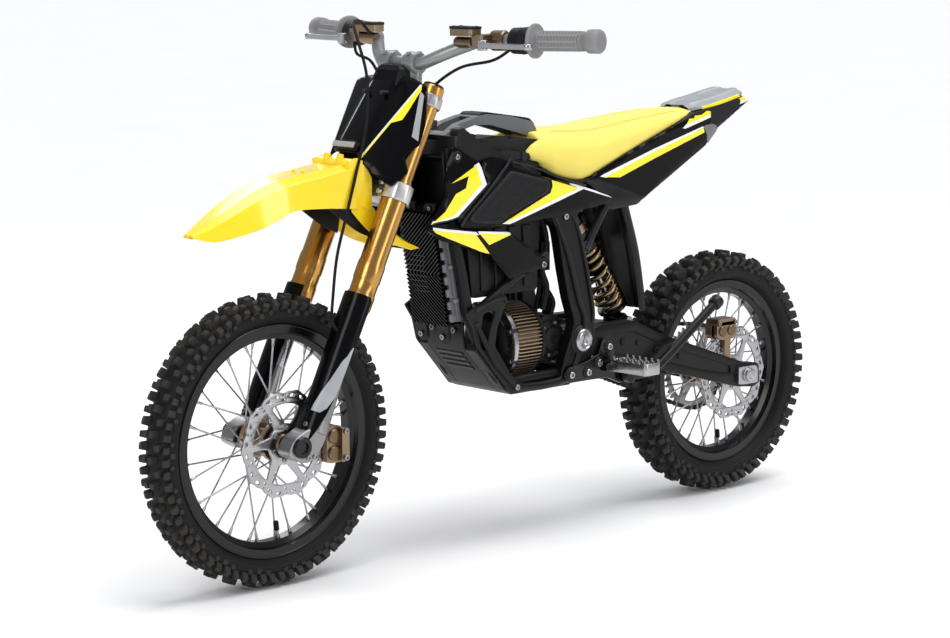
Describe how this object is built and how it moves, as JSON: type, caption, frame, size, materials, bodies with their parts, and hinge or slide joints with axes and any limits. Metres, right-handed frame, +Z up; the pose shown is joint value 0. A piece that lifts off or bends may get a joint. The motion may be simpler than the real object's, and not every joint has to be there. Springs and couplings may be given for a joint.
{
  "type": "off-road motorcycle",
  "caption": "Youth electric off-road motorcycle with a telescopic fork, swingarm with coil-over shock, wire-spoked wheels and disc brakes.",
  "frame": {"origin": "on the ground, midway between the two wheel axles, in the bike's centre plane", "axes": "+X to the bike's left, -Y forwards, +Z up"},
  "size_m": [0.7182, 1.5555, 0.9119],
  "materials": {
    "black_frame": "satin",
    "zinc": "satin",
    "black_plastic": "satin",
    "gloss_black": "gloss",
    "grey_plastic": "satin",
    "bronze": "satin",
    "gold": "gloss",
    "silver": "satin",
    "yellow": "gloss",
    "seat_yellow": "matte",
    "rubber": "matte",
    "grey_rubber": "matte",
    "tyre_rubber": "matte",
    "black_alloy": "gloss",
    "steel": "brushed",
    "black_steel": "satin"
  },
  "bodies": {
    "chassis": {"main_frame": "black_frame", "frame_bolts": "zinc", "subframe": "black_frame", "battery_case": "black_plastic", "battery_lid": "black_plastic", "battery_handle": "grey_plastic", "controller_heat_sink": "black_alloy", "motor_housing": "bronze", "gear_case": "black_alloy", "skid_plate": "black_plastic", "bash_guards": "black_plastic", "shrouds": "gloss_black", "side_panels": "gloss_black", "seat": "seat_yellow", "seat_base": "black_plastic", "tail_cover": "gloss_black", "inner_mudguard": "black_plastic", "peg_brackets": "black_frame"},
    "steering": {"fork_tubes": "gold", "lower_clamp": "silver", "upper_clamp": "silver", "steering_stem": "steel", "handlebar": "silver", "grip_left": "grey_rubber", "switch_housings": "black_plastic", "master_cylinders": "bronze", "number_plate": "gloss_black", "front_fender": "yellow", "front_brake_hose": "rubber"},
    "fork_slider": {"fork_legs": "silver", "fork_guards": "gloss_black", "front_axle": "black_steel", "front_caliper": "bronze"},
    "front_wheel": {"front_tyre": "tyre_rubber", "front_rim": "black_alloy", "front_spokes": "steel", "front_hub": "bronze", "front_brake_disc": "steel"},
    "rear_arm": {"swingarm": "black_alloy", "rear_axle": "silver", "rear_caliper": "bronze", "drive_chain": "black_steel"},
    "rear_wheel": {"rear_tyre": "tyre_rubber", "rear_rim": "black_alloy", "rear_spokes": "steel", "rear_hub": "bronze", "rear_brake_disc": "steel", "rear_sprocket": "silver"},
    "drive": {"drive_sprocket": "steel"},
    "shock_upper": {"shock_body": "bronze", "shock_spring": "gold"},
    "shock_lower": {"shock_shaft": "steel"},
    "throttle": {"throttle_grip": "grey_rubber"},
    "lever_left": {"brake_lever_left": "silver"},
    "lever_right": {"brake_lever_right": "silver"},
    "button_mode": {"mode_button": "grey_plastic"},
    "button_stop": {"stop_button": "grey_plastic"},
    "stand": {"kickstand": "black_steel"},
    "peg_left": {"footpeg_left": "silver"},
    "peg_right": {"footpeg_right": "silver"}
  },
  "joints": [
    {"name": "steering_turn", "type": "hinge", "parent": "chassis", "child": "steering", "pos_m": [0, -0.29579, 0.63329], "axis": [0, 0.4384, 0.8988], "range_deg": [-35, 35]},
    {"name": "fork_travel", "type": "slide", "parent": "steering", "child": "fork_slider", "axis": [0, 0.4384, 0.8988], "range_m": [0, 0.1], "stiffness_N_per_m": 5000, "springref_m": -0.11, "deforming": ["front_brake_hose"]},
    {"name": "front_wheel_spin", "type": "hinge", "parent": "fork_slider", "child": "front_wheel", "pos_m": [0, -0.543, 0.241], "axis": [1, 0, 0], "continuous": true},
    {"name": "swingarm_pivot", "type": "hinge", "parent": "chassis", "child": "rear_arm", "pos_m": [0, 0.101, 0.344], "axis": [1, 0, 0], "range_deg": [0, 15], "stiffness_Nm_per_rad": 1100, "springref_deg": -16.04, "deforming": ["shock_spring", "drive_chain"]},
    {"name": "rear_wheel_spin", "type": "hinge", "parent": "rear_arm", "child": "rear_wheel", "pos_m": [0, 0.543, 0.2285], "axis": [1, 0, 0], "continuous": true},
    {"name": "drive_sprocket_spin", "type": "hinge", "parent": "chassis", "child": "drive", "pos_m": [0, 0.06239, 0.347], "axis": [1, 0, 0], "continuous": true},
    {"name": "shock_swing", "type": "hinge", "parent": "chassis", "child": "shock_upper", "pos_m": [0, 0.14, 0.572], "axis": [1, 0, 0], "range_deg": [0, 5.11]},
    {"name": "shock_stroke", "type": "slide", "parent": "shock_upper", "child": "shock_lower", "axis": [0, -0.5431, 0.8397], "range_m": [0, 0.0438]},
    {"name": "throttle_turn", "type": "hinge", "parent": "steering", "child": "throttle", "pos_m": [-0.29, -0.14559, 0.88386], "axis": [-0.9737, 0.2273, 0.0178], "range_deg": [0, 70], "stiffness_Nm_per_rad": 0.3, "springref_deg": -34.38},
    {"name": "left_lever_pull", "type": "hinge", "parent": "steering", "child": "lever_left", "pos_m": [0.176, -0.2242, 0.875], "axis": [0, 0, 1], "range_deg": [0, 18], "stiffness_Nm_per_rad": 3, "springref_deg": -5.73},
    {"name": "right_lever_pull", "type": "hinge", "parent": "steering", "child": "lever_right", "pos_m": [-0.176, -0.2242, 0.875], "axis": [0, 0, -1], "range_deg": [0, 18], "stiffness_Nm_per_rad": 3, "springref_deg": -5.73},
    {"name": "mode_button_press", "type": "slide", "parent": "steering", "child": "button_mode", "axis": [0, -0.6, -0.8], "range_m": [0, 0.002], "stiffness_N_per_m": 400, "springref_m": -0.001},
    {"name": "stop_button_press", "type": "slide", "parent": "steering", "child": "button_stop", "axis": [0, -0.6, -0.8], "range_m": [0, 0.002], "stiffness_N_per_m": 400, "springref_m": -0.001},
    {"name": "kickstand_fold", "type": "hinge", "parent": "chassis", "child": "stand", "pos_m": [0.101, 0.206, 0.269], "axis": [-1, 0, 0], "range_deg": [0, 110]},
    {"name": "left_peg_fold", "type": "hinge", "parent": "chassis", "child": "peg_left", "pos_m": [0.106, 0.166, 0.292], "axis": [0, -1, 0], "range_deg": [0, 50], "stiffness_Nm_per_rad": 2, "springref_deg": -34.38},
    {"name": "right_peg_fold", "type": "hinge", "parent": "chassis", "child": "peg_right", "pos_m": [-0.106, 0.166, 0.292], "axis": [0, 1, 0], "range_deg": [0, 50], "stiffness_Nm_per_rad": 2, "springref_deg": -34.38}
  ],
  "couplings": [
    {"joint": "drive_sprocket_spin", "follows": "rear_wheel_spin", "ratio": 3.6364},
    {"joint": "shock_swing", "follows": "swingarm_pivot", "ratio": 0.31386},
    {"joint": "shock_stroke", "follows": "swingarm_pivot", "m_per_rad": 0.16363}
  ]
}
